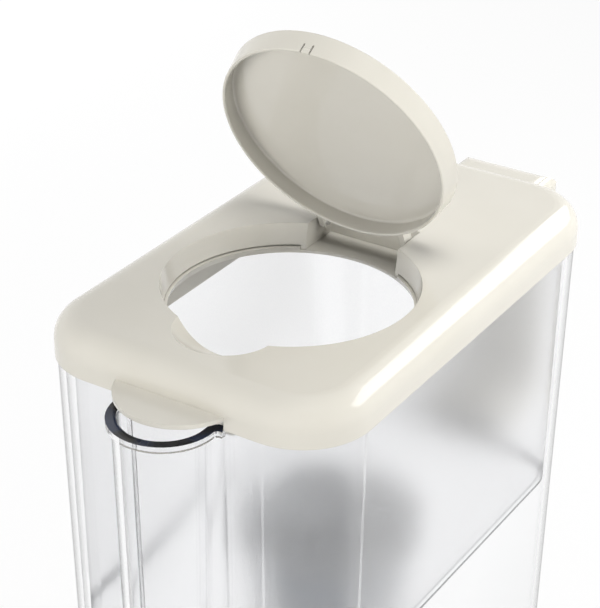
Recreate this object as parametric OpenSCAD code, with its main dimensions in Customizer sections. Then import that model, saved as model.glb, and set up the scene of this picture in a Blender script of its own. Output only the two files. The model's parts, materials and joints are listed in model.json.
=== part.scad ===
/* [Clear body] */
// Outer width at the rim
body_w = 108.4; // [100:0.2:130]
// Outer length at the rim, without spout and handle
body_l = 178.6; // [165:0.2:210]
// Height of the rim above the resting face
body_h = 251; // [225:1:290]
// Plan radius of the corners at the rim
corner_r = 22.6; // [20:0.2:26]
// How far each side leans in between rim and base
body_draft = 4; // [1:0.1:5]
// Wall thickness
body_wall = 2.2; // [1.8:0.1:2.6]
// Thickness of the floor
body_floor = 3; // [2:0.1:5]
// Height of the foot rim under the floor
foot_h = 2.5; // [1.5:0.1:4]
// Width of the foot rim
foot_w = 6; // [4:0.1:9]

/* [Spout] */
// Outer radius of the spout column at the rim
spout_r = 15.8; // [13:0.1:17]
// How far the spout column stands in front of the body at the rim
spout_reach = 18.9; // [17:0.1:24]
// Radius of the hollow where the column meets the front wall, at the rim
spout_fillet_r = 3; // [2:0.1:4]
// How far the lip stands out from the column
lip_out = 1.6; // [0.8:0.1:2]
// Height of the lip
lip_h = 2.2; // [1.5:0.1:4]
// Chamfer inside the lip
lip_chamfer = 0.6; // [0.2:0.1:1]

/* [Handle] */
// Width of the handle
handle_w = 38; // [30:1:44]
// How far the handle stands behind the body at the rim
handle_reach = 46.2; // [38:0.1:54]
// How far the top of the handle lies below the rim
handle_drop = 4; // [3:0.5:12]
// Height of the handle
handle_h = 96; // [90:1:120]
// Thickness of the grip and the arms
handle_t = 14; // [12:0.5:17]
// Outer corner radius of the handle
handle_r = 12; // [10:0.5:16]
// Edge rounding of the handle
handle_edge_r = 5; // [2:0.5:6]
// Wall thickness of the handle frame
handle_wall = 2.4; // [2:0.1:3]
// Thickness of the handle's back cover
cover_t = 2; // [1.4:0.1:2.6]
// Shank radius of the handle screws
screw_r = 1.5; // [1.2:0.1:2]
// Head radius of the handle screws
screw_head_r = 3; // [2.6:0.1:3.4]

/* [Hopper] */
// Gap between the body's outer face and the hopper's outer face at the rim
hopper_inset = 5; // [4.6:0.1:7]
// Depth of the hopper below the body's rim
hopper_depth = 98; // [85:1:110]
// How far the hopper's sides lean in from top to bottom
hopper_draft = 1; // [0.5:0.1:3]
// Wall thickness of the hopper
hopper_wall = 2; // [1.6:0.1:2.6]
// Thickness of the hopper's hanging flange
flange_t = 1.6; // [1.2:0.1:2.4]
// Step from the body's outer face in to the edge of that flange
flange_step = 1.5; // [1.5:0.1:1.8]
// Depth of the cartridge socket below the hopper's floor
socket_depth = 16; // [12:1:22]

/* [Lid] */
// How far the lid stands out over the body
lid_over = 0.8; // [0.4:0.1:1.5]
// Height of the lid's skirt
lid_h = 13.8; // [13:0.1:18]
// Radius of the lid's top edge
lid_edge_r = 8.6; // [6:0.1:10]
// Thickness of the lid
lid_t = 2; // [1.6:0.1:2.2]
// Depth of the liner ring's upper face below the lid's top
liner_depth = 8; // [7.8:0.1:8.4]
// Thickness of the liner
liner_t = 2.4; // [2:0.1:3]
// Depth of the liner's four ribs in the hopper's mouth
rib_depth = 8; // [5:0.5:14]
// Thickness of those ribs
rib_t = 1.6; // [1.2:0.1:2.4]
// Gap between the ribs and the hopper's walls
rib_gap = 0.8; // [0.4:0.1:1.2]
// How far the ribs end before the corners
rib_end = 14; // [8:1:20]

/* [Fill opening] */
// How far the opening's centre lies in front of the pitcher's centre
opening_y = 24; // [18:0.5:26]
// Radius of the opening at the lid's top
opening_r = 41.5; // [38:0.1:42]
// How much narrower the opening is at its foot
opening_draft = 1.3; // [1:0.1:1.6]
// Height of the opening's collar below the lid's top
collar_h = 7.6; // [7.2:0.1:7.6]
// Radius of the liner's ring under the opening
ring_r = 39.2; // [36:0.1:39.4]
// Plan radius of the finger scoop
scoop_r = 16.6; // [12:0.1:18]
// Depth of the finger scoop at its middle
scoop_depth = 7.6; // [6:0.1:7.6]
// Distance of the scoop's middle from the opening's centre
scoop_y = 36; // [34:0.1:38]

/* [Awning] */
// Radius of the awning over the spout
awning_r = 20.6; // [18:0.1:22]
// How far the awning stands in front of the lid
awning_reach = 14; // [10:0.1:16]
// Thickness of the awning
awning_t = 1.4; // [1:0.1:2]
// Depth of the awning's upper face below the lid's top
awning_drop = 9.3; // [8.6:0.1:9.6]

/* [Flip lid] */
// Gap all round between the flip lid and the opening
flip_gap = 0.32; // [0.3:0.02:0.5]
// Height of the flip lid's rim
flip_h = 7.66; // [7:0.02:7.7]
// Wall thickness of the flip lid's rim at its round foot
flip_wall = 1; // [0.8:0.1:1.6]
// How much narrower the hollow is at the foot than at the ceiling
flip_in_draft = 0.5; // [0.2:0.1:0.8]
// Thickness of the flip lid's top
flip_t = 1.5; // [1.2:0.1:2.2]
// Radius of the flip lid's outer top edge
flip_edge_r = 0.8; // [0.4:0.1:2]
// Radius of the corner between the rim and the ceiling
flip_cove_r = 0.8; // [0.4:0.1:2]
// How far the flip lid is open, as stored
flip_open = 66.6; // [0:0.1:100]
// Width of the snap tongue
tongue_w = 3.2; // [2:0.1:6]
// Height of the slits beside the snap tongue
slit_h = 3.1; // [2:0.1:4]
// Width of those slits
slit_w = 0.5; // [0.3:0.05:0.8]

/* [Flip hinge] */
// Distance of the hinge axis behind the opening's centre
hinge_y = 46.1; // [45.5:0.1:48]
// Depth of the hinge axis below the lid's top
hinge_depth = 2.2; // [2:0.05:2.6]
// Radius of the two hinge pins
pin_r = 0.9; // [0.7:0.05:1]
// How far each pin stands in past its knuckle
pin_nose = 0.6; // [0.2:0.1:1]
// Running clearance round the pin
pin_gap = 0.06; // [0.02:0.01:0.1]
// Outer radius of the knuckles
knuckle_r = 2.1; // [1.9:0.05:2.2]
// Width of each knuckle
knuckle_w = 2.2; // [1.6:0.1:5]
// Half-width of the hinge recess
recess_half = 17.3; // [15:0.1:20]
// Distance of the recess's rear wall behind the opening's centre
recess_y = 52.5; // [52:0.1:55]
// Depth of the recess's floor below the lid's top
recess_depth = 9.2; // [9:0.1:9.4]
// Thickness of the recess's walls
recess_wall = 1.6; // [1.2:0.1:2]
// Radius of the bosses that hold the pins
pin_boss_r = 3; // [2.5:0.1:3.5]
// Width of those bosses
pin_boss_w = 3.4; // [2:0.1:5]

/* [Cartridge] */
// Radius of the cartridge's neck in the socket
neck_r = 24; // [20:0.1:26]
// Length of the cartridge below the hopper's floor
cartridge_l = 62; // [50:1:75]
// How much narrower the cartridge is at its foot
cartridge_draft = 1.6; // [0.5:0.1:3]
// Wall thickness of the cartridge
cartridge_wall = 1.6; // [1.2:0.1:2.4]
// Radius of the dome
dome_r = 30; // [28:0.1:33]
// Height of the dome's upright edge
dome_edge_h = 8; // [6:0.5:12]
// Height of the crown above that edge
dome_crown_h = 9; // [6:0.5:12]
// Thickness of the dome
dome_t = 1.6; // [1.2:0.1:2]
// Number of inlet slots round the dome
inlet_n = 18; // [8:1:24]
// Width of an inlet slot
inlet_w = 2; // [1:0.1:3]
// Number of outlet slots in the foot
outlet_n = 12; // [6:1:18]
// Clearance between the seal ring and the socket
seal_gap = 0.06; // [0.02:0.01:0.1]
// Height of the seal ring
seal_h = 3; // [2:0.1:5]
// Thickness of the screens and of the divider
screen_t = 1.2; // [0.8:0.1:2]
// Share of the filling that is carbon
carbon_part = 0.45; // [0.2:0.05:0.8]
// Radius of the pull ring
ring_pull_r = 11; // [8:0.5:13]
// Radius of the pull ring's bar
ring_bar_r = 1.3; // [1:0.1:1.6]

/* [Hidden] */
$fn = 96;
cream = [0.86, 0.85, 0.8];
clear = [0.85, 0.9, 0.93, 0.3];
frosted = [0.93, 0.94, 0.95, 0.7];
over = 1;
seat_gap = 0.1;
loose_gap = 0.4;

// The corner centres are the same for the body, the hopper and the lid
core_x = body_w / 2 - corner_r;
core_y = body_l / 2 - corner_r;
function lean(z) = body_draft * (1 - z / body_h);
function body_reach(z) = corner_r - lean(z);
function rear_y(z) = core_y + body_reach(z);

// Spout
front_y = -body_l / 2;
spout_y = front_y - spout_reach + spout_r;
fillet_x = spout_r + spout_fillet_r;
fillet_y = front_y - spout_fillet_r;
floor_z = foot_h + body_floor;

// Handle
handle_z1 = body_h - handle_drop;
handle_z0 = handle_z1 - handle_h;
handle_y = body_l / 2 + handle_reach;
boss_w = 10;
boss_h = 7;
boss_d = 8;
bulkhead_t = 4;
boss_z = [handle_z0 + handle_t / 2, handle_z1 - handle_t / 2];
bulkhead_y = rear_y(body_h) + boss_d + seat_gap + bulkhead_t;
screw_grip = 6;
screw_head_h = 2.2;
cross_l = 3.6;
cross_w = 0.6;

// Hopper
hopper_reach = corner_r - hopper_inset;
hopper_z0 = body_h - hopper_depth;
hopper_floor_z = hopper_z0 + hopper_wall;
flange_reach = corner_r - flange_step;
flange_z0 = body_h + seat_gap;
flange_z1 = flange_z0 + flange_t;
hopper_foot_r = 1.5;
spout_inner = spout_r - body_wall;

// Lid
lid_reach = corner_r + lid_over;
lid_z0 = body_h + 2 * seat_gap;
lid_z1 = lid_z0 + lid_h;
plate_z = lid_z1 - lid_t;
liner_z1 = lid_z1 - liner_depth;
liner_z0 = liner_z1 - liner_t;
liner_reach = lid_reach - lid_t - loose_gap;
liner_seat_w = 2.2;
rib_reach = hopper_reach - hopper_wall - rib_gap;
rib_z0 = flange_z1 - rib_depth;
collar_t = 1.8;
post_r = 3;
post_x = core_x + lid_reach - 7.8;
scoop_ball_r = (scoop_r * scoop_r + scoop_depth * scoop_depth) / (2 * scoop_depth);
scoop_wall = 1.6;
awning_y = front_y - lid_over - awning_reach + awning_r;
awning_z1 = lid_z1 - awning_drop;
lip_half = sqrt(awning_r * awning_r - pow(awning_r - awning_reach, 2)) - seat_gap;

// Flip hinge
axis_y = hinge_y - opening_y;
axis_z = lid_z1 - hinge_depth;
knuckle_x = recess_half - loose_gap - knuckle_w;
pin_half = recess_half + pin_boss_w - loose_gap;
flip_top_r = opening_r - flip_gap;
flip_foot_r = flip_top_r - opening_draft * flip_h / collar_h;

// Cartridge
socket_r = neck_r + 0.5;
socket_wall = 2;
socket_z0 = hopper_floor_z - socket_depth;
deck_z0 = hopper_floor_z + seat_gap;
deck_t = 2;
deck_z1 = deck_z0 + deck_t;
cart_z0 = hopper_floor_z - cartridge_l;
seal_in_r = neck_r - 0.9;
seal_z0 = socket_z0 + 5;
dome_edge_z = deck_z1 + dome_edge_h;
crown_z = dome_edge_z + dome_crown_h;
crown_ball_r = (dome_r * dome_r + dome_crown_h * dome_crown_h) / (2 * dome_crown_h);
fill_z0 = cart_z0 + cartridge_wall + screen_t;
fill_z1 = deck_z0 - screen_t;
divider_z = fill_z0 + (fill_z1 - fill_z0) * carbon_part;
ear_t = 2;
ear_gap = 0.4;
ear_in = ring_pull_r + ring_bar_r + ear_gap;
ring_axis_z = crown_z + ring_bar_r + loose_gap;
ring_pin_r = 0.9;
function cart_r(z) = neck_r - cartridge_draft * (deck_z0 - z) / (deck_z0 - cart_z0);
fill_r = cart_r(cart_z0) - cartridge_wall - 1;

// Slots, from one share of the radius to another
outlet_in = 0.36;
outlet_out = 0.91;
outlet_w = 1.2;
inlet_in = 0.62;

// Carries a section (across, up) round the four sides and corners of the core rectangle
module wrap() {
    for (m = [0, 1]) {
        mirror([m, 0, 0]) translate([core_x, core_y, 0]) rotate([90, 0, 0])
            linear_extrude(2 * core_y) children();
        mirror([0, m, 0]) translate([-core_x, core_y, 0]) rotate([90, 0, 90])
            linear_extrude(2 * core_x) children();
    }
    for (mx = [0, 1], my = [0, 1])
        mirror([mx, 0, 0]) mirror([0, my, 0]) translate([core_x, core_y, 0])
            rotate_extrude(angle = 90) children();
}

module core_slab(z0, z1) {
    translate([-core_x, -core_y, z0]) cube([2 * core_x, 2 * core_y, z1 - z0]);
}

// Solid with the core's plan, r0 and r1 beyond the core at its lower and upper ends
module block(r0, r1, z0, z1) {
    wrap() polygon([[0, z0], [r0, z0], [r1, z1], [0, z1]]);
    core_slab(z0, z1);
}

// The spout column, set in from the outer face
module column_form(inset, z0, z1) {
    r0 = spout_r - lean(z0) - inset;
    r1 = spout_r - lean(z1) - inset;
    translate([0, spout_y, 0]) rotate(180) rotate_extrude(angle = 180)
        polygon([[0, z0], [r0, z0], [r1, z1], [0, z1]]);
    translate([0, -core_y, 0]) rotate([90, 0, 0]) linear_extrude(-core_y - spout_y)
        polygon([[-r0, z0], [r0, z0], [r1, z1], [-r1, z1]]);
}

// The hollows between the column and the front wall
module column_fillets(inset, z0, z1) {
    for (m = [0, 1]) mirror([m, 0, 0]) difference() {
        translate([0, fillet_y, z0]) cube([fillet_x, -core_y - fillet_y, z1 - z0]);
        translate([fillet_x, fillet_y, z0])
            cylinder(r1 = spout_fillet_r + lean(z0) + inset, r2 = spout_fillet_r + lean(z1) + inset, h = z1 - z0);
    }
}

// The body's whole form, set in from the outer face
module body_form(inset, z0, z1) {
    block(body_reach(z0) - inset, body_reach(z1) - inset, z0, z1);
    column_form(inset, z0, z1);
    column_fillets(inset, z0, z1);
}

module spout_lip() {
    intersection() {
        body_form(-lip_out, body_h - lip_h, body_h);
        translate([-lip_half, front_y - spout_reach - 2 * lip_out, body_h - lip_h])
            cube([2 * lip_half, spout_reach + 2 * lip_out + body_wall / 2, lip_h]);
    }
}

module handle_bosses() {
    for (z = boss_z) translate([-boss_w / 2, rear_y(z) - body_wall / 2, z - boss_h / 2])
        cube([boss_w, rear_y(body_h) + boss_d - rear_y(z) + body_wall / 2, boss_h]);
}

// Clear body: tank, spout column, lip and handle bosses in one moulding
module pitcher_body() {
    color(clear) difference() {
        union() {
            difference() {
                body_form(0, 0, body_h);
                body_form(body_wall, floor_z, body_h + over);
                block(body_reach(0) - foot_w, body_reach(foot_h) - foot_w, -over, foot_h);
            }
            spout_lip();
            handle_bosses();
        }
        column_form(body_wall, floor_z, body_h + over);
        column_form(body_wall - lip_chamfer, body_h - lip_chamfer, body_h + over);
        for (z = boss_z) translate([0, bulkhead_y - bulkhead_t + over, z]) rotate([90, 0, 0])
            cylinder(r = screw_r + pin_gap, h = screw_grip + over);
    }
}

// Rectangle (across, up) with round corners on its far side
module far_round(y0, y1, z0, z1, r) {
    translate([y0, z0]) square([y1 - r - y0, z1 - z0]);
    translate([y0, z0 + r]) square([y1 - y0, z1 - z0 - 2 * r]);
    for (z = [z0 + r, z1 - r]) translate([y1 - r, z]) circle(r);
}

module side_profile(w) {
    translate([-w / 2, 0, 0]) rotate([90, 0, 90]) linear_extrude(w) children();
}

module handle_outline(inset) {
    far_round(0, handle_y - inset, handle_z0 + inset, handle_z1 - inset, handle_r - inset);
}

module finger_hole(grow) {
    far_round(0, handle_y - handle_t + grow, handle_z0 + handle_t - grow, handle_z1 - handle_t + grow,
        handle_r - handle_t / 2 + grow);
}

// Rounds the handle's long edges
module handle_envelope() {
    intersection() {
        linear_extrude(body_h + over) {
            r = handle_edge_r;
            translate([-handle_w / 2, 0]) square([handle_w, handle_y - r]);
            translate([-handle_w / 2 + r, 0]) square([handle_w - 2 * r, handle_y]);
            for (x = [-1, 1]) translate([x * (handle_w / 2 - r), handle_y - r]) circle(r);
        }
        translate([0, handle_y + over, 0]) rotate([90, 0, 0]) linear_extrude(handle_y + 2 * over) {
            r = handle_edge_r;
            translate([-handle_w / 2, handle_z0 + r]) square([handle_w, handle_h - 2 * r]);
            translate([-handle_w / 2 + r, handle_z0]) square([handle_w - 2 * r, handle_h]);
            for (x = [-1, 1], z = [handle_z0 + r, handle_z1 - r])
                translate([x * (handle_w / 2 - r), z]) circle(r);
        }
    }
}

module behind(y) {
    translate([y, 0]) square([handle_y, body_h + over]);
}

// Handle frame: the grip's inner half with both arms, open at the back
module handle_frame() {
    in_w = handle_w - 2 * handle_wall;
    color(cream) difference() {
        intersection() {
            side_profile(handle_w) difference() {
                handle_outline(0);
                finger_hole(0);
                polygon([[0, 0], [rear_y(0), 0], [rear_y(body_h), body_h], [0, body_h]]);
            }
            handle_envelope();
        }
        side_profile(in_w) intersection() {
            difference() {
                handle_outline(-over);
                finger_hole(handle_wall);
            }
            behind(bulkhead_y);
        }
        for (z = boss_z) {
            translate([-boss_w / 2 - seat_gap, 0, z - boss_h / 2 - seat_gap])
                cube([boss_w + 2 * seat_gap, bulkhead_y - bulkhead_t, boss_h + 2 * seat_gap]);
            translate([0, bulkhead_y + over, z]) rotate([90, 0, 0])
                cylinder(r = screw_r + seat_gap, h = bulkhead_t + 2 * over);
        }
    }
}

// Handle cover: the curved strip that closes the frame's back
module handle_cover() {
    strip_w = handle_w - 2 * handle_wall - 2 * seat_gap;
    rib_n = 4;
    rib_t = 1.6;
    color(cream) intersection() {
        union() {
            side_profile(strip_w) intersection() {
                difference() {
                    handle_outline(0);
                    handle_outline(cover_t);
                }
                behind(bulkhead_y + seat_gap);
            }
            for (i = [1:rib_n]) translate([
                -strip_w / 2, handle_y - handle_t + handle_wall + seat_gap,
                handle_z0 + handle_r + (handle_h - 2 * handle_r) * (i - 0.5) / rib_n
            ])
                cube([strip_w, handle_t - handle_wall - cover_t / 2, rib_t]);
        }
        handle_envelope();
    }
}

// Two pan-head screws through the frame's bulkheads into the body's bosses
module handle_screws() {
    color("silver") for (z = boss_z) translate([0, bulkhead_y, z]) {
        rotate([90, 0, 0]) cylinder(r = screw_r, h = bulkhead_t + screw_grip - over);
        difference() {
            rotate([-90, 0, 0]) cylinder(r = screw_head_r, h = screw_head_h);
            for (a = [0, 90]) rotate([0, a, 0]) translate([-cross_l / 2, screw_head_h / 2, -cross_w / 2])
                cube([cross_l, screw_head_h, cross_w]);
        }
    }
}

// Hopper: frosted inner reservoir that hangs from the body's rim
module hopper() {
    low_r = hopper_reach - hopper_draft;
    color(frosted) difference() {
        union() {
            wrap() polygon([
                [0, hopper_z0], [low_r - hopper_foot_r, hopper_z0], [low_r, hopper_z0 + hopper_foot_r],
                [hopper_reach, flange_z0], [flange_reach, flange_z0], [flange_reach, flange_z1],
                [hopper_reach - hopper_wall, flange_z1], [low_r - hopper_wall, hopper_floor_z],
                [0, hopper_floor_z]
            ]);
            core_slab(hopper_z0, hopper_floor_z);
            translate([0, 0, socket_z0]) cylinder(r = socket_r + socket_wall, h = socket_depth);
        }
        translate([0, 0, socket_z0 - over]) cylinder(r = socket_r, h = socket_depth + 2 * over);
        translate([-spout_inner, -core_y - flange_reach - over, flange_z0 - seat_gap])
            cube([2 * spout_inner, flange_reach - hopper_reach + over, flange_t + over]);
    }
}

// Lid section with a round top edge and an even wall
module lid_section() {
    x = lid_reach - lid_edge_r;
    z = lid_z1 - lid_edge_r;
    intersection() {
        difference() {
            union() {
                translate([x, z]) circle(lid_edge_r);
                translate([0, lid_z0]) square([x, lid_h]);
                translate([x, lid_z0]) square([lid_edge_r, z - lid_z0]);
            }
            translate([x, z]) circle(lid_edge_r - lid_t);
            translate([-over, lid_z0 - over]) square([x + over, lid_h - lid_t + over]);
            translate([x, lid_z0 - over]) square([lid_edge_r - lid_t, z - lid_z0 + over]);
        }
        translate([0, lid_z0]) square([lid_reach, lid_h]);
    }
}

module opening_cut() {
    step = opening_draft / collar_h;
    translate([0, -opening_y, 0]) rotate_extrude() polygon([
        [0, lid_z0], [opening_r - opening_draft, lid_z0],
        [opening_r - opening_draft, lid_z1 - collar_h],
        [opening_r + step * over, lid_z1 + over], [0, lid_z1 + over]
    ]);
}

module scoop_ball(grow) {
    translate([0, -opening_y - scoop_y, lid_z1 - scoop_depth + scoop_ball_r])
        sphere(r = scoop_ball_r + grow);
}

module recess_box(grow, z0, z1) {
    translate([-recess_half - grow, -opening_y, z0])
        cube([2 * (recess_half + grow), recess_y + grow, z1 - z0]);
}

module at_hinge_axis() {
    translate([0, axis_y, axis_z]) rotate([0, 90, 0]) children();
}

// Lid shell: top, skirt, awning, opening collar, finger scoop and hinge recess
module lid() {
    color(cream) difference() {
        union() {
            wrap() lid_section();
            core_slab(plate_z, lid_z1);
            translate([0, -opening_y, lid_z1 - collar_h])
                cylinder(r = opening_r + collar_t, h = collar_h - lid_t / 2);
            recess_box(recess_wall, lid_z1 - recess_depth + seat_gap, lid_z1 - lid_t / 2);
            intersection() {
                scoop_ball(scoop_wall);
                translate([-scoop_r - scoop_wall, -opening_y - scoop_y - scoop_r - scoop_wall, liner_z1])
                    cube([2 * (scoop_r + scoop_wall), 2 * (scoop_r + scoop_wall), liner_depth - lid_t / 2]);
            }
            intersection() {
                at_hinge_axis() for (m = [0, 1]) mirror([0, 0, m]) translate([0, 0, recess_half])
                    cylinder(r = pin_boss_r, h = pin_boss_w);
                translate([0, 0, axis_z - pin_boss_r]) core_slab(0, lid_z1 - lid_t / 2 - axis_z + pin_boss_r);
            }
            for (x = [-1, 1], y = [-1, 0, 1])
                translate([x * post_x, y * core_y, liner_z1])
                    cylinder(r = post_r, h = plate_z - liner_z1 + lid_t / 2);
            awning();
        }
        opening_cut();
        recess_box(0, lid_z0 - over, lid_z1 + over);
        scoop_ball(0);
        at_hinge_axis() translate([0, 0, -pin_half]) cylinder(r = pin_r, h = 2 * pin_half);
        translate([-lip_half, front_y - lid_over - over, lid_z0 - over])
            cube([2 * lip_half, lid_t + 2 * over, awning_z1 - awning_t - lid_z0 + over]);
    }
}

module awning() {
    intersection() {
        translate([0, awning_y, awning_z1 - awning_t]) cylinder(r = awning_r, h = awning_t);
        translate([-awning_r, awning_y - awning_r, awning_z1 - awning_t])
            cube([2 * awning_r, -core_y - hopper_reach - loose_gap - awning_y + awning_r, awning_t]);
    }
}

// The liner's locating ribs, one along each side of the hopper's mouth
module liner_ribs() {
    for (m = [0, 1]) {
        mirror([m, 0, 0]) translate([core_x + rib_reach - rib_t, rib_end - core_y, rib_z0])
            cube([rib_t, 2 * (core_y - rib_end), liner_z1 - rib_z0]);
        mirror([0, m, 0]) translate([rib_end - core_x, core_y + rib_reach - rib_t, rib_z0])
            cube([2 * (core_x - rib_end), rib_t, liner_z1 - rib_z0]);
    }
}

// Liner under the lid: ring below the opening, ribs in the hopper's mouth, seat on its flange
module lid_liner() {
    seat_z = flange_z1 + seat_gap;
    color(cream) difference() {
        union() {
            wrap() polygon([
                [0, liner_z0], [liner_reach - liner_seat_w, liner_z0],
                [liner_reach - liner_seat_w, seat_z], [liner_reach, seat_z], [liner_reach, liner_z1],
                [0, liner_z1]
            ]);
            core_slab(liner_z0, liner_z1);
            liner_ribs();
        }
        translate([0, -opening_y, 0]) rotate_extrude() polygon([
            [0, liner_z0 - over], [ring_r + liner_t / 3, liner_z0 - over],
            [ring_r + liner_t / 3, liner_z0], [ring_r, liner_z1], [ring_r, liner_z1 + over],
            [0, liner_z1 + over]
        ]);
        recess_box(recess_wall + seat_gap, lid_z1 - recess_depth, liner_z1 + over);
        translate([-awning_r - loose_gap, -core_y - liner_reach - over, rib_z0])
            cube([2 * (awning_r + loose_gap), liner_reach - hopper_reach + over, liner_z1]);
    }
}

// Two steel pins, held in the lid's bosses, which the flip lid's knuckles turn on
module hinge_pin() {
    color("silver") at_hinge_axis() for (m = [0, 1]) mirror([0, 0, m])
        translate([0, 0, knuckle_x - pin_nose]) cylinder(r = pin_r, h = pin_half - knuckle_x + pin_nose);
}

// Flip lid's dish as a section, with its round foot at 0
module dish_section() {
    foot_r = flip_wall / 2;
    ceiling = flip_h - flip_t;
    edge_x = flip_top_r - flip_edge_r;
    in_foot = flip_foot_r - flip_wall;
    in_top = in_foot + flip_in_draft;
    cove_x = in_top - flip_cove_r;
    translate([flip_foot_r - foot_r, foot_r]) circle(foot_r);
    difference() {
        intersection() {
            polygon([[0, foot_r], [flip_foot_r, foot_r], [flip_top_r, flip_h], [0, flip_h]]);
            union() {
                square([flip_top_r, flip_h - flip_edge_r]);
                square([edge_x, flip_h]);
                translate([edge_x, flip_h - flip_edge_r]) circle(flip_edge_r);
            }
        }
        intersection() {
            polygon([[0, -over], [in_foot, -over], [in_foot, foot_r], [in_top, ceiling], [0, ceiling]]);
            union() {
                translate([0, -over]) square([in_top, ceiling - flip_cove_r + over]);
                translate([0, -over]) square([cove_x, ceiling + over]);
                translate([cove_x, ceiling - flip_cove_r]) circle(flip_cove_r);
            }
        }
    }
}

module hinge_arms() {
    foot_z = axis_z - knuckle_r;
    for (m = [0, 1]) mirror([m, 0, 0]) translate([knuckle_x, 0, 0]) {
        translate([0, axis_y, axis_z]) rotate([0, 90, 0]) cylinder(r = knuckle_r, h = knuckle_w);
        difference() {
            translate([0, -opening_y, foot_z]) cube([knuckle_w, hinge_y, 2 * knuckle_r]);
            translate([-knuckle_x, -opening_y, foot_z - over])
                cylinder(r = flip_foot_r - flip_wall / 4, h = 2 * knuckle_r + 2 * over);
        }
    }
}

module flip_lid_closed() {
    difference() {
        union() {
            translate([0, -opening_y, lid_z1 - flip_h]) rotate_extrude() dish_section();
            hinge_arms();
        }
        at_hinge_axis() translate([0, 0, -recess_half]) cylinder(r = pin_r + pin_gap, h = 2 * recess_half);
        for (x = [-1, 1]) translate([
            x * tongue_w / 2 - slit_w / 2, -opening_y - flip_top_r - over, lid_z1 - flip_h - over
        ])
            cube([slit_w, flip_wall + 2 * over + opening_draft, slit_h + over]);
    }
    translate([0, -opening_y - flip_foot_r, lid_z1 - flip_h + slit_h / 2]) rotate([0, 90, 0])
        translate([0, 0, -tongue_w / 2 + slit_w]) cylinder(r = flip_gap, h = tongue_w - 2 * slit_w);
}

// Flip lid, open as stored
module flip_lid() {
    color(cream) translate([0, axis_y, axis_z]) rotate([-flip_open, 0, 0]) translate([0, -axis_y, -axis_z])
        flip_lid_closed();
}

// Cartridge shell: tapered cup with a deck, a seal groove and a slotted foot
module cartridge_shell() {
    color("dimgray") difference() {
        rotate_extrude() polygon([
            [0, cart_z0], [cart_r(cart_z0), cart_z0], [cart_r(seal_z0), seal_z0], [seal_in_r, seal_z0],
            [seal_in_r, seal_z0 + seal_h], [cart_r(seal_z0 + seal_h), seal_z0 + seal_h], [neck_r, deck_z0],
            [dome_r, deck_z0], [dome_r, deck_z1], [neck_r - 2 * cartridge_wall, deck_z1],
            [seal_in_r - cartridge_wall, deck_z0 - screen_t], [seal_in_r - cartridge_wall, seal_z0],
            [cart_r(cart_z0) - cartridge_wall - 1, cart_z0 + cartridge_wall], [0, cart_z0 + cartridge_wall]
        ]);
        for (i = [0:outlet_n - 1]) rotate(i * 360 / outlet_n)
            translate([fill_r * outlet_in, -outlet_w / 2, cart_z0 - over])
                cube([fill_r * (outlet_out - outlet_in), outlet_w, cartridge_wall + 2 * over]);
    }
}

module crown(grow) {
    translate([0, 0, crown_z - crown_ball_r]) sphere(r = crown_ball_r + grow);
}

// Cartridge cap: domed grille with radial inlet slots and the pull ring's ears
module cartridge_cap() {
    color("dimgray") {
        difference() {
            intersection() {
                translate([0, 0, deck_z1]) cylinder(r = dome_r, h = crown_z - deck_z1);
                crown(0);
            }
            intersection() {
                translate([0, 0, deck_z1 - over]) cylinder(r = dome_r - dome_t, h = crown_z - deck_z1);
                crown(-dome_t);
            }
            for (i = [0:inlet_n - 1]) rotate((i + 0.5) * 360 / inlet_n)
                translate([dome_r * inlet_in, -inlet_w / 2, deck_z1 + dome_edge_h / 3])
                    cube([dome_r, inlet_w, crown_z - deck_z1]);
        }
        for (m = [0, 1]) mirror([m, 0, 0]) difference() {
            translate([ear_in, -ring_bar_r - 1, crown_z - dome_t])
                cube([ear_t, 2 * ring_bar_r + 2, ring_axis_z + ring_bar_r + 1 - crown_z + dome_t]);
            translate([ear_in - over, 0, ring_axis_z]) rotate([0, 90, 0])
                cylinder(r = ring_pin_r + pin_gap, h = ear_t + 2 * over);
        }
    }
}

// Silicone ring in the shell's groove
module cartridge_seal() {
    color("slategray") translate([0, 0, seal_z0]) difference() {
        cylinder(r = socket_r - seal_gap, h = seal_h);
        translate([0, 0, -over]) cylinder(r = seal_in_r, h = seal_h + 2 * over);
    }
}

module fill_disc(z0, z1) {
    translate([0, 0, z0]) cylinder(r = fill_r, h = z1 - z0);
}

// Fleece disc under the dome
module inlet_screen() {
    color("white") fill_disc(fill_z1, fill_z1 + screen_t);
}

// Ion-exchange resin, the upper part of the filling
module resin_bed() {
    color("goldenrod") fill_disc(divider_z + screen_t, fill_z1);
}

// Fleece disc between the two fillings
module bed_divider() {
    color("white") fill_disc(divider_z, divider_z + screen_t);
}

// Granular carbon, the lower part of the filling
module carbon_bed() {
    color([0.12, 0.12, 0.12]) fill_disc(fill_z0, divider_z);
}

// Fleece disc over the outlet slots
module outlet_screen() {
    color("white") fill_disc(fill_z0 - screen_t, fill_z0);
}

// Folding half ring for pulling the cartridge out, folded down as stored
module pull_ring() {
    color("gray") translate([0, 0, ring_axis_z]) {
        rotate_extrude(angle = 180) translate([ring_pull_r, 0]) circle(r = ring_bar_r, $fn = 32);
        for (m = [0, 1]) mirror([m, 0, 0]) translate([ring_pull_r, 0, 0]) rotate([0, 90, 0]) {
            cylinder(r = ring_pin_r, h = ring_bar_r + ear_gap + ear_t);
            translate([0, 0, -ring_bar_r / 2]) cylinder(r = ring_bar_r, h = 1.5 * ring_bar_r);
        }
    }
}

pitcher_body();
handle_frame();
handle_cover();
handle_screws();
hopper();
lid();
lid_liner();
hinge_pin();
flip_lid();
cartridge_shell();
cartridge_cap();
cartridge_seal();
inlet_screen();
resin_bed();
bed_divider();
carbon_bed();
outlet_screen();
pull_ring();
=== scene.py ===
"""Looks of a slim water filter pitcher: clear body, frosted hopper, cream lid with a round flip lid."""

import json
import math

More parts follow.
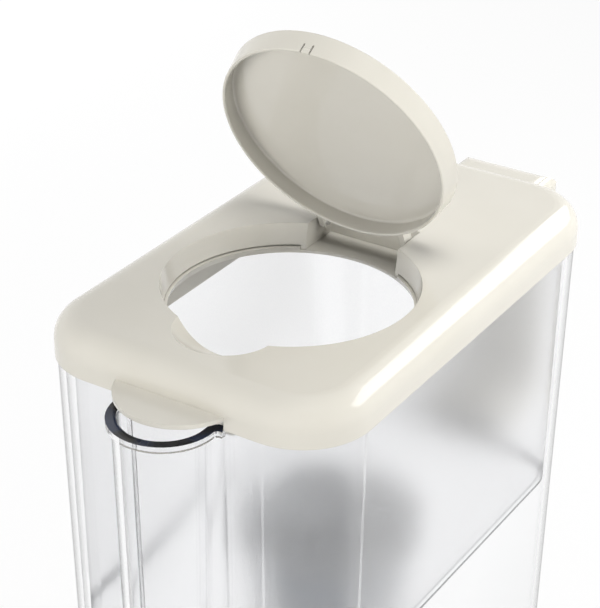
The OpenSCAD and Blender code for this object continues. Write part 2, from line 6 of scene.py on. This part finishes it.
import bpy
from mathutils import Matrix, Vector


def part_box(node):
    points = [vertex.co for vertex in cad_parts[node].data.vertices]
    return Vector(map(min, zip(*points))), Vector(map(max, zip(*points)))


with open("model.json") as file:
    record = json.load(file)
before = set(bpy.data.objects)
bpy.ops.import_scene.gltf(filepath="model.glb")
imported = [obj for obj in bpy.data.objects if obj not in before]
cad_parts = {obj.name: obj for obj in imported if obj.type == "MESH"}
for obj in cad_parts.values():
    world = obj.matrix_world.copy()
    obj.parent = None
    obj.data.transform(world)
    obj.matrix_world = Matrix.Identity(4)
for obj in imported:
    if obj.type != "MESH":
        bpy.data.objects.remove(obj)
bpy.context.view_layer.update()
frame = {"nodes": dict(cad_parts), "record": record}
nodes = frame["nodes"]

MM = 0.001

# Places on the pitcher that its finishes depend on

BODY_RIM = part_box("pitcher_body")[1][2]
HOPPER_DEPTH = 98 * MM
HOPPER_FOOT = BODY_RIM - HOPPER_DEPTH


# Camera, fitted to the photograph

FRAME_SIDE_PX = 608
FOCAL_PX = 1915.0
AXIS_ABOVE_CENTRE_PX = 4.0
SENSOR_MM = 36.0
NEAREST_SEEN = 10 * MM
CAMERA_AT = Vector((287.4, -473.3, 549.1)) * MM
CAMERA_AZIMUTH = math.radians(32.29)
CAMERA_ELEVATION = math.radians(28.61)
CAMERA_ROLL = math.radians(0.43)


def add_camera():
    data = bpy.data.cameras.new("camera")
    data.sensor_width = SENSOR_MM
    data.lens = FOCAL_PX * SENSOR_MM / FRAME_SIDE_PX
    data.shift_y = -AXIS_ABOVE_CENTRE_PX / FRAME_SIDE_PX
    data.clip_start = NEAREST_SEEN
    camera = bpy.data.objects.new("camera", data)
    bpy.context.scene.collection.objects.link(camera)
    turn = (
        Matrix.Rotation(CAMERA_AZIMUTH, 4, "Z")
        @ Matrix.Rotation(math.radians(90) - CAMERA_ELEVATION, 4, "X")
        @ Matrix.Rotation(CAMERA_ROLL, 4, "Z")
    )
    camera.matrix_world = Matrix.Translation(CAMERA_AT) @ turn
    bpy.context.scene.camera = camera


# Material helpers


def new_material(name, **sockets):
    """A material and its shader, with the given values set on the shader's sockets."""
    material = bpy.data.materials.new(name)
    material.use_nodes = True
    shader = material.node_tree.nodes["Principled BSDF"]
    for socket, value in sockets.items():
        shader.inputs[socket.replace("_", " ")].default_value = value
    return material, shader


def add_node(material, kind, **settings):
    node = material.node_tree.nodes.new(kind)
    for name, value in settings.items():
        setattr(node, name, value)
    return node


def link(material, source, target):
    material.node_tree.links.new(source, target)


def object_place(material):
    return add_node(material, "ShaderNodeTexCoord").outputs["Object"]


def object_normal(material):
    return add_node(material, "ShaderNodeTexCoord").outputs["Normal"]


def upward_part(material, vector):
    """The Z of a place, which is its height, or the Z of a normal, which is 1 on a flat top."""
    node = add_node(material, "ShaderNodeSeparateXYZ")
    link(material, vector, node.inputs["Vector"])
    return node.outputs["Z"]


def noise(material, size, detail=2.0, roughness=0.5):
    """Noise whose features are about that size, in metres."""
    node = add_node(material, "ShaderNodeTexNoise")
    node.inputs["Scale"].default_value = 1 / size
    node.inputs["Detail"].default_value = detail
    node.inputs["Roughness"].default_value = roughness
    link(material, object_place(material), node.inputs["Vector"])
    return node.outputs["Fac"]


def spread(material, value, low, high, start=0.3, stop=0.7):
    """Maps a value that runs from start to stop to the range from low to high."""
    node = add_node(material, "ShaderNodeMapRange", clamp=True)
    for name, number in (("From Min", start), ("From Max", stop), ("To Min", low), ("To Max", high)):
        node.inputs[name].default_value = number
    link(material, value, node.inputs["Value"])
    return node.outputs["Result"]


def blend_colours(material, mask, colour_a, colour_b):
    """From colour_a where the mask is 0 to colour_b where it is 1; either may be another node's output."""
    node = add_node(material, "ShaderNodeMix", data_type="RGBA")
    for name, colour in (("A", colour_a), ("B", colour_b)):
        if isinstance(colour, tuple):
            node.inputs[name].default_value = colour
        else:
            link(material, colour, node.inputs[name])
    link(material, mask, node.inputs["Factor"])
    return node.outputs["Result"]


def add_bump(material, shader, height, depth, strength=1.0, edge=None):
    """Fine relief, over edges that are rounded by that radius where one is given."""
    node = add_node(material, "ShaderNodeBump")
    node.inputs["Strength"].default_value = strength
    node.inputs["Distance"].default_value = depth
    link(material, height, node.inputs["Height"])
    if edge:
        rounding = add_node(material, "ShaderNodeBevel", samples=6)
        rounding.inputs["Radius"].default_value = edge
        link(material, rounding.outputs["Normal"], node.inputs["Normal"])
    link(material, node.outputs["Normal"], shader.inputs["Normal"])


def above(material, value, limit):
    """A mask that is 1 where the value is over the limit."""
    node = add_node(material, "ShaderNodeMath", operation="GREATER_THAN")
    link(material, value, node.inputs[0])
    node.inputs[1].default_value = limit
    return node.outputs[0]


def multiply(material, value_a, value_b):
    node = add_node(material, "ShaderNodeMath", operation="MULTIPLY")
    link(material, value_a, node.inputs[0])
    link(material, value_b, node.inputs[1])
    return node.outputs[0]


def grazing(material):
    """A mask that grows to 1 where a surface is seen nearly along its face."""
    node = add_node(material, "ShaderNodeLayerWeight")
    node.inputs["Blend"].default_value = 0.5
    return node.outputs["Facing"]


def srgb(red, green, blue):
    """A colour written as screen values from 0 to 255, as the linear colour that the shader takes."""
    def linear(value):
        share = value / 255
        return share / 12.92 if share <= 0.04045 else ((share + 0.055) / 1.055) ** 2.4
    return (linear(red), linear(green), linear(blue), 1.0)


# Lid, flip lid and handle

CREAM_DARK = srgb(229, 225, 213)
CREAM_LIGHT = srgb(232, 228, 217)


def cream_plastic():
    """Glossy moulded plastic with a very fine grain and slightly rounded edges."""
    material, shader = new_material("cream_plastic", IOR=1.5)
    cloud = noise(material, 30 * MM)
    tint = blend_colours(material, spread(material, cloud, 0, 1), CREAM_DARK, CREAM_LIGHT)
    link(material, tint, shader.inputs["Base Color"])
    grain = noise(material, 0.5 * MM, detail=4)
    link(material, spread(material, grain, 0.09, 0.13), shader.inputs["Roughness"])
    add_bump(material, shader, grain, 0.01 * MM, strength=0.25, edge=0.25 * MM)
    return material


# Clear body

CLEAR_WALL = (0.996, 0.998, 1.0, 1.0)
# Painted shade: the clear wall turns towards this grey where it is seen nearly along its face, for dark
# edge lines
CLEAR_PAINTED_EDGE_SHADE = srgb(30, 31, 34)
EDGE_SHADE_FROM = 0.66
EDGE_SHADE_FULL = 0.88
THICK_TINT = (0.0, 0.02, 0.05, 1.0)
THICK_DENSITY = 4.0
# Painted reflection: the flat rim's top is made opaque, near-black with navy streaks, for the dark
# surroundings it reflects
RIM_REFLECTION_NAVY = srgb(38, 48, 72)
RIM_REFLECTION_BLACK = srgb(24, 26, 30)
RIM_BAND = 0.1 * MM
RIM_FLATNESS = 0.9
RIM_ROUGHNESS = 0.12


def painted_rim_reflection(material):
    """The mask of the body's flat top edge, and the painted dark reflection, near-black with navy streaks,
    that is laid there.
    """
    height = upward_part(material, object_place(material))
    high = above(material, height, BODY_RIM - RIM_BAND)
    flat = above(material, upward_part(material, object_normal(material)), RIM_FLATNESS)
    reflection_streak = spread(material, noise(material, 14 * MM, detail=0), 0, 1, start=0.45, stop=0.55)
    return multiply(material, high, flat), blend_colours(material, reflection_streak, RIM_REFLECTION_BLACK, RIM_REFLECTION_NAVY)


def clear_plastic():
    """Polished clear plastic with painted shade along its edges where they are seen side-on, and a painted
    dark blue reflection on its flat rim.
    """
    material, shader = new_material("clear_plastic", IOR=1.49)
    # Painted reflection on the flat rim, where no light passes through
    rim_reflection_mask, rim_reflection_colour = painted_rim_reflection(material)
    # Painted shade along the edges that are seen side-on
    painted_edge_shade = spread(material, grazing(material), 0, 1, start=EDGE_SHADE_FROM, stop=EDGE_SHADE_FULL)
    wall = blend_colours(material, painted_edge_shade, CLEAR_WALL, CLEAR_PAINTED_EDGE_SHADE)
    link(material, blend_colours(material, rim_reflection_mask, wall, rim_reflection_colour), shader.inputs["Base Color"])
    link(material, spread(material, rim_reflection_mask, 1, 0, start=0, stop=1), shader.inputs["Transmission Weight"])
    link(material, spread(material, rim_reflection_mask, 0, RIM_ROUGHNESS, start=0, stop=1), shader.inputs["Roughness"])
    inside = add_node(material, "ShaderNodeVolumeAbsorption")
    inside.inputs["Color"].default_value = THICK_TINT
    inside.inputs["Density"].default_value = THICK_DENSITY
    link(material, inside.outputs["Volume"], material.node_tree.nodes["Material Output"].inputs["Volume"])
    return material


# Frosted hopper

FROST_DARK = srgb(250, 250, 251)
FROST_LIGHT = srgb(255, 255, 255)
# Painted shade: a dark grey band along the hopper's lowest edge
FOOT_PAINTED_SHADE = srgb(84, 85, 88)
FOOT_BAND = 2.6 * MM
FOOT_SLACK = 0.2 * MM
FOOT_FADE = 0.1 * MM


def foot_shade_band(material):
    """The mask of the hopper's lowest band, on its upright walls alone, where a painted dark grey shade is
    laid.
    """
    height = upward_part(material, object_place(material))
    over_foot = above(material, height, HOPPER_FOOT - FOOT_SLACK)
    band_top = HOPPER_FOOT + FOOT_BAND
    under_top = spread(material, height, 1, 0, start=band_top, stop=band_top + FOOT_FADE)
    tilt = upward_part(material, object_normal(material))
    upright = spread(material, multiply(material, tilt, tilt), 1, 0, start=0.88, stop=0.96)
    return multiply(material, multiply(material, over_foot, under_top), upright)


def frosted_plastic():
    """Finely grained plastic that blurs what stands behind it, with a painted dark grey shade band along
    its foot.
    """
    material, shader = new_material("frosted_plastic", IOR=1.07, Transmission_Weight=1.0)
    grain = noise(material, 0.6 * MM, detail=2, roughness=0.6)
    speckle = spread(material, grain, 0, 1, start=0.4, stop=0.6)
    tint = blend_colours(material, speckle, FROST_DARK, FROST_LIGHT)
    # Painted shade along the hopper's foot, over the grain
    colour = blend_colours(material, foot_shade_band(material), tint, FOOT_PAINTED_SHADE)
    link(material, colour, shader.inputs["Base Color"])
    link(material, spread(material, grain, 0.52, 0.62), shader.inputs["Roughness"])
    add_bump(material, shader, grain, 0.04 * MM, strength=0.6)
    return material


# Cartridge and its filling

CARTRIDGE_DARK = srgb(160, 161, 163)
CARTRIDGE_LIGHT = srgb(170, 171, 173)
SEAL_GREY = srgb(150, 160, 170)
FLEECE_DARK = srgb(214, 213, 208)
FLEECE_LIGHT = srgb(242, 241, 238)
# Lit and shaded copies of the filling's colours, for painted shade on each grain
RESIN_SHADED = srgb(120, 74, 20)
RESIN_LIT = srgb(214, 160, 70)
CARBON_SHADED = srgb(12, 12, 13)
CARBON_LIT = srgb(52, 52, 54)


def cartridge_plastic():
    """Fine matte grey plastic."""
    material, shader = new_material("cartridge_plastic", Roughness=0.45)
    grain = noise(material, 0.3 * MM, detail=3)
    tint = blend_colours(material, spread(material, grain, 0, 1), CARTRIDGE_DARK, CARTRIDGE_LIGHT)
    link(material, tint, shader.inputs["Base Color"])
    add_bump(material, shader, grain, 0.02 * MM, strength=0.5)
    return material


def silicone():
    material, shader = new_material("silicone", Base_Color=SEAL_GREY, Roughness=0.6)
    add_bump(material, shader, noise(material, 0.2 * MM), 0.01 * MM)
    return material


def fleece():
    """Bonded fibre of the screens that hold the filling."""
    material, shader = new_material("fleece", Roughness=0.95, Sheen_Weight=0.3)
    fibre = noise(material, 0.6 * MM, detail=6, roughness=0.8)
    tint = blend_colours(material, spread(material, fibre, 0, 1), FLEECE_DARK, FLEECE_LIGHT)
    link(material, tint, shader.inputs["Base Color"])
    add_bump(material, shader, fibre, 0.15 * MM)
    return material


def beads(name, size, grain_shaded, grain_lit, roughness):
    """Packed grains of about that size, in metres, with painted shade: each grain lighter at its middle
    and darker towards the gaps between grains.
    """
    material, shader = new_material(name, Roughness=roughness)
    cells = add_node(material, "ShaderNodeTexVoronoi")
    cells.inputs["Scale"].default_value = 1 / size
    link(material, object_place(material), cells.inputs["Vector"])
    from_middle = cells.outputs["Distance"]
    # Painted shade: lighter at each grain's middle, darker between grains
    tint = blend_colours(material, spread(material, from_middle, 1, 0, start=0.1), grain_shaded, grain_lit)
    link(material, tint, shader.inputs["Base Color"])
    add_bump(material, shader, spread(material, from_middle, 1, 0, start=0), 0.4 * size)
    return material


# Hinge pins and handle screws

STEEL_GREY = (0.62, 0.62, 0.63, 1.0)


def steel():
    material, shader = new_material("steel", Base_Color=STEEL_GREY, Metallic=1.0)
    link(material, spread(material, noise(material, 0.2 * MM), 0.16, 0.3), shader.inputs["Roughness"])
    return material


def finish_nodes():
    """Gives every CAD node the finish that its material slot names."""
    finishes = {
        "clear_plastic": clear_plastic(),
        "frosted_plastic": frosted_plastic(),
        "cream_plastic": cream_plastic(),
        "cartridge_plastic": cartridge_plastic(),
        "silicone": silicone(),
        "fleece": fleece(),
        "resin": beads("resin", 0.7 * MM, RESIN_SHADED, RESIN_LIT, roughness=0.35),
        "carbon": beads("carbon", 1.1 * MM, CARBON_SHADED, CARBON_LIT, roughness=0.6),
        "steel": steel(),
    }
    for part in frame["record"]["subparts"]:
        materials = nodes[part["node"]].data.materials
        materials.clear()
        materials.append(finishes[part["material_slot"]])


# Stage

FLOOR_SIDE = 12
FLOOR_PAINT = (0.95, 0.95, 0.95, 1.0)
FLOOR_GLOW = 0.9
WORLD_LIGHT = 0.06
WHITE = (1.0, 1.0, 1.0, 1.0)


def background_rays(tree):
    """1 for the rays that show the background: those of the camera, of gloss and of clear plastic."""
    path = tree.nodes.new("ShaderNodeLightPath")
    seen = path.outputs["Is Camera Ray"]
    for ray in ("Is Glossy Ray", "Is Transmission Ray"):
        either = tree.nodes.new("ShaderNodeMath")
        either.operation = "MAXIMUM"
        tree.links.new(seen, either.inputs[0])
        tree.links.new(path.outputs[ray], either.inputs[1])
        seen = either.outputs[0]
    return seen


def mix_surfaces(tree, share, surface_a, surface_b, output):
    mix = tree.nodes.new("ShaderNodeMixShader")
    for source, target in zip((share, surface_a, surface_b), mix.inputs):
        tree.links.new(source, target)
    tree.links.new(mix.outputs["Shader"], output.inputs["Surface"])


def add_floor():
    """A pale floor that is nearly white to the camera and still takes the pitcher's shadow."""
    bpy.ops.mesh.primitive_plane_add(size=FLOOR_SIDE)
    floor = bpy.context.object
    floor.name = "floor"
    material, shader = new_material("floor_paint", Base_Color=FLOOR_PAINT, Roughness=0.9)
    tree = material.node_tree
    share = add_node(material, "ShaderNodeMath", operation="MULTIPLY")
    link(material, background_rays(tree), share.inputs[0])
    share.inputs[1].default_value = FLOOR_GLOW
    glow = add_node(material, "ShaderNodeEmission").outputs["Emission"]
    mix_surfaces(tree, share.outputs[0], shader.outputs["BSDF"], glow, tree.nodes["Material Output"])
    floor.data.materials.append(material)


def add_world():
    """A dim world for light, which is plain white where it is seen."""
    world = bpy.data.worlds.new("world")
    bpy.context.scene.world = world
    world.use_nodes = True
    tree = world.node_tree
    dim = tree.nodes["Background"]
    dim.inputs["Color"].default_value = WHITE
    dim.inputs["Strength"].default_value = WORLD_LIGHT
    white = tree.nodes.new("ShaderNodeBackground")
    white.inputs["Color"].default_value = WHITE
    white.inputs["Strength"].default_value = 1.0
    mix_surfaces(tree, background_rays(tree), dim.outputs[0], white.outputs[0], tree.nodes["World Output"])


# Lamps

LIT_PLACE = Vector((0, 0, 240)) * MM
KEY_DISTANCE = 0.75
LAMP_DISTANCE = 1.4


def add_softbox(name, direction, distance, size, power, reflected=False):
    """A rectangular lamp that faces the lid from that direction; only a reflected one shows in gloss."""
    data = bpy.data.lights.new(name, "AREA")
    data.shape = "RECTANGLE"
    data.size, data.size_y = size
    data.energy = power
    lamp = bpy.data.objects.new(name, data)
    lamp.visible_camera = False
    lamp.visible_glossy = reflected
    bpy.context.scene.collection.objects.link(lamp)
    away = Vector(direction).normalized()
    lamp.matrix_world = Matrix.LocRotScale(
        LIT_PLACE + distance * away, away.to_track_quat("Z", "Y"), None
    )


def add_lights():
    """Softboxes round the lid, each named for the side that it stands on."""
    add_softbox("key_softbox", (0.479, 0.742, 0.469), KEY_DISTANCE, (0.95, 0.34), 4.0, reflected=True)
    add_softbox("side_softbox", (1.0, 0.0, 0.07), LAMP_DISTANCE, (0.7, 0.35), 5.0)
    add_softbox("spout_softbox", (-0.3, -0.95, 0.05), LAMP_DISTANCE, (1.2, 0.3), 8.4)
    add_softbox("top_softbox", (0.265, -0.265, 0.927), LAMP_DISTANCE, (0.6, 0.6), 11.2)
    add_softbox("back_softbox", (-0.85, 0.5, 0.07), LAMP_DISTANCE, (0.8, 0.35), 10.0)


CLEAR_BOUNCES = 40
DIFFUSE_BOUNCES = 1


def set_light_paths():
    """Light passes many walls where the hopper and the cartridge stand in the clear body."""
    cycles = bpy.context.scene.cycles
    cycles.max_bounces = CLEAR_BOUNCES
    cycles.transmission_bounces = CLEAR_BOUNCES
    cycles.glossy_bounces = CLEAR_BOUNCES
    cycles.diffuse_bounces = DIFFUSE_BOUNCES


bpy.context.scene.view_settings.view_transform = "Standard"
set_light_paths()
add_camera()
finish_nodes()
add_floor()
add_world()
add_lights()
